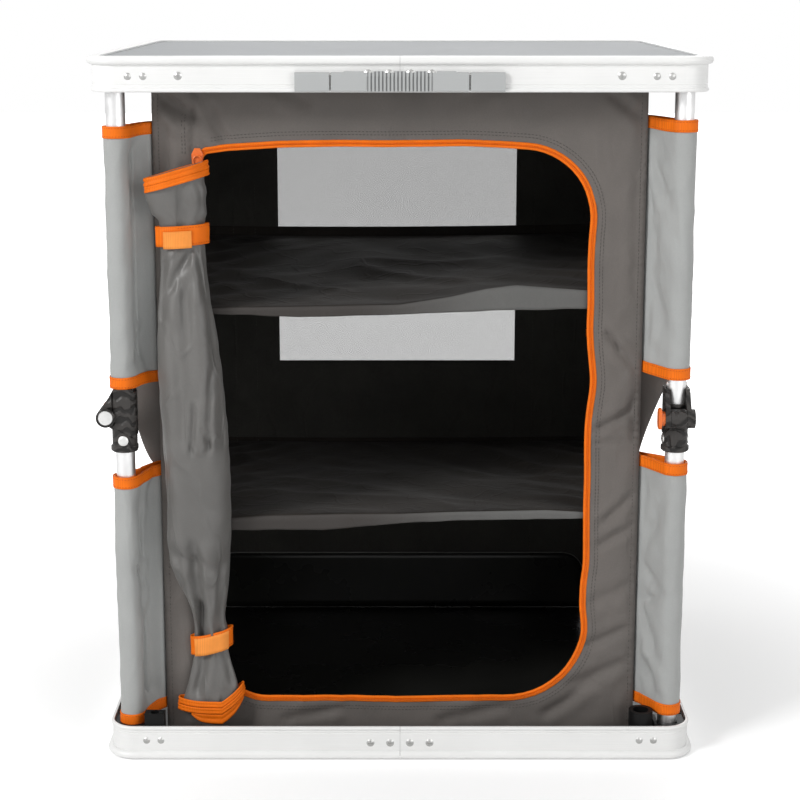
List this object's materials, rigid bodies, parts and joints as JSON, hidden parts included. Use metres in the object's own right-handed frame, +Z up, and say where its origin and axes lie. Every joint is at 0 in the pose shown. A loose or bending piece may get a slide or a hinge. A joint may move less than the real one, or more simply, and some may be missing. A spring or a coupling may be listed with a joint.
{
  "type": "camping cupboard",
  "caption": "Folding camp cupboard: metal tray and table top on hinged tube legs, with a hanging cloth cabinet, sagging shelves, a zipped door rolled aside and a carrying handle.",
  "frame": {"origin": "middle of the footprint, on the floor", "axes": "+Z up, front with the door facing -Y, +X to the right seen from the front"},
  "size_m": [0.6, 0.5, 0.707],
  "materials": {
    "frame_paint": "satin white over extruded aluminium",
    "board_grey": "matt grey table top",
    "pan_black": "glossy black floor tray",
    "moulding_black": "satin black moulding",
    "button_orange": "orange moulding",
    "handle_grey": "light grey moulding",
    "tube_aluminium": "satin drawn tube",
    "steel": "plated fasteners",
    "fabric_charcoal": "coated charcoal cloth",
    "fabric_silver": "light grey cloth",
    "webbing_orange": "woven orange tape",
    "mesh_grey": "fine ventilation mesh"
  },
  "bodies": {
    "tray": {"tray_frame": "frame_paint", "tray_splice_plate": "steel", "tray_floor_pan": "pan_black", "tray_corner_rivets": "frame_paint", "tray_splice_screws": "steel", "tray_corner_brackets": "moulding_black", "tray_pivot_pins": "steel", "front_panel": "fabric_charcoal", "side_walls": "fabric_charcoal", "back_wall": "fabric_charcoal", "window_mesh": "mesh_grey", "upper_shelf": "fabric_charcoal", "lower_shelf": "fabric_charcoal", "leg_sleeves": "fabric_silver", "sleeve_tapes": "webbing_orange", "door_roll": "fabric_charcoal", "door_ties": "webbing_orange", "door_end_tapes": "webbing_orange", "zip_tape": "webbing_orange", "zip_slider": "steel"},
    "top": {"top_frame": "frame_paint", "top_splice_plate": "steel", "top_board": "board_grey", "top_corner_rivets": "frame_paint", "top_splice_screws": "steel", "top_side_screws": "steel", "top_corner_brackets": "moulding_black", "top_pivot_pins": "steel", "handle_mounts": "handle_grey", "handle_pins": "steel"},
    "handle": {"handle_grip": "handle_grey"},
    "front_left_lower": {"front_left_lower_tube": "tube_aluminium", "front_left_lower_knuckle": "moulding_black", "front_left_knee_pin_and_rivet": "steel"},
    "front_left_upper": {"front_left_upper_tube": "tube_aluminium", "front_left_upper_knuckle": "moulding_black", "front_left_upper_rivet": "steel"},
    "front_left_button": {"front_left_lock_button": "button_orange"},
    "front_right_lower": {"front_right_lower_tube": "tube_aluminium", "front_right_lower_knuckle": "moulding_black", "front_right_knee_pin_and_rivet": "steel"},
    "front_right_upper": {"front_right_upper_tube": "tube_aluminium", "front_right_upper_knuckle": "moulding_black", "front_right_upper_rivet": "steel"},
    "front_right_button": {"front_right_lock_button": "button_orange"},
    "back_right_lower": {"back_right_lower_tube": "tube_aluminium", "back_right_lower_knuckle": "moulding_black", "back_right_knee_pin_and_rivet": "steel"},
    "back_right_upper": {"back_right_upper_tube": "tube_aluminium", "back_right_upper_knuckle": "moulding_black", "back_right_upper_rivet": "steel"},
    "back_right_button": {"back_right_lock_button": "button_orange"},
    "back_left_lower": {"back_left_lower_tube": "tube_aluminium", "back_left_lower_knuckle": "moulding_black", "back_left_knee_pin_and_rivet": "steel"},
    "back_left_upper": {"back_left_upper_tube": "tube_aluminium", "back_left_upper_knuckle": "moulding_black", "back_left_upper_rivet": "steel"},
    "back_left_button": {"back_left_lock_button": "button_orange"}
  },
  "joints": [
    {"name": "fold", "type": "hinge", "parent": "tray", "child": "front_left_lower", "pos_m": [-0.274, -0.22, 0.018], "axis": [0, 1, 0], "range_deg": [0, 90], "deforming": ["front_panel", "side_walls", "back_wall", "window_mesh", "upper_shelf", "lower_shelf", "leg_sleeves", "sleeve_tapes", "door_roll", "door_ties", "door_end_tapes", "zip_tape", "zip_slider"]},
    {"name": "front_left_knee", "type": "hinge", "parent": "front_left_lower", "child": "front_left_upper", "pos_m": [-0.2905, -0.22, 0.3535], "axis": [0, 1, 0], "range_deg": [-180, 0]},
    {"name": "front_left_button_press", "type": "slide", "parent": "front_left_upper", "child": "front_left_button", "axis": [0, -1, 0], "range_m": [0, 0.0025], "stiffness_N_per_m": 400},
    {"name": "front_right_foot", "type": "hinge", "parent": "tray", "child": "front_right_lower", "pos_m": [0.274, -0.22, 0.018], "axis": [-1, 0, 0], "range_deg": [0, 90]},
    {"name": "front_right_knee", "type": "hinge", "parent": "front_right_lower", "child": "front_right_upper", "pos_m": [0.274, -0.2365, 0.3535], "axis": [-1, 0, 0], "range_deg": [-180, 0]},
    {"name": "front_right_button_press", "type": "slide", "parent": "front_right_upper", "child": "front_right_button", "axis": [1, 0, 0], "range_m": [0, 0.0025], "stiffness_N_per_m": 400},
    {"name": "back_right_foot", "type": "hinge", "parent": "tray", "child": "back_right_lower", "pos_m": [0.274, 0.22, 0.018], "axis": [0, -1, 0], "range_deg": [0, 90]},
    {"name": "back_right_knee", "type": "hinge", "parent": "back_right_lower", "child": "back_right_upper", "pos_m": [0.2905, 0.22, 0.3535], "axis": [0, -1, 0], "range_deg": [-180, 0]},
    {"name": "back_right_button_press", "type": "slide", "parent": "back_right_upper", "child": "back_right_button", "axis": [0, 1, 0], "range_m": [0, 0.0025], "stiffness_N_per_m": 400},
    {"name": "back_left_foot", "type": "hinge", "parent": "tray", "child": "back_left_lower", "pos_m": [-0.274, 0.22, 0.018], "axis": [1, 0, 0], "range_deg": [0, 90]},
    {"name": "back_left_knee", "type": "hinge", "parent": "back_left_lower", "child": "back_left_upper", "pos_m": [-0.274, 0.2365, 0.3535], "axis": [1, 0, 0], "range_deg": [-180, 0]},
    {"name": "back_left_button_press", "type": "slide", "parent": "back_left_upper", "child": "back_left_button", "axis": [-1, 0, 0], "range_m": [0, 0.0025], "stiffness_N_per_m": 400},
    {"name": "top_pivot", "type": "hinge", "parent": "front_left_upper", "child": "top", "pos_m": [-0.274, -0.22, 0.689], "axis": [0, 1, 0], "range_deg": [0, 90]},
    {"name": "handle_hinge", "type": "hinge", "parent": "top", "child": "handle", "pos_m": [0, -0.2484, 0.6899], "axis": [-1, 0, 0], "range_deg": [0, 90]}
  ],
  "couplings": [
    {"joint": "front_left_knee", "follows": "fold", "ratio": -2},
    {"joint": "front_right_foot", "follows": "fold", "ratio": 1},
    {"joint": "front_right_knee", "follows": "fold", "ratio": -2},
    {"joint": "back_right_foot", "follows": "fold", "ratio": 1},
    {"joint": "back_right_knee", "follows": "fold", "ratio": -2},
    {"joint": "back_left_foot", "follows": "fold", "ratio": 1},
    {"joint": "back_left_knee", "follows": "fold", "ratio": -2},
    {"joint": "top_pivot", "follows": "fold", "ratio": 1}
  ]
}
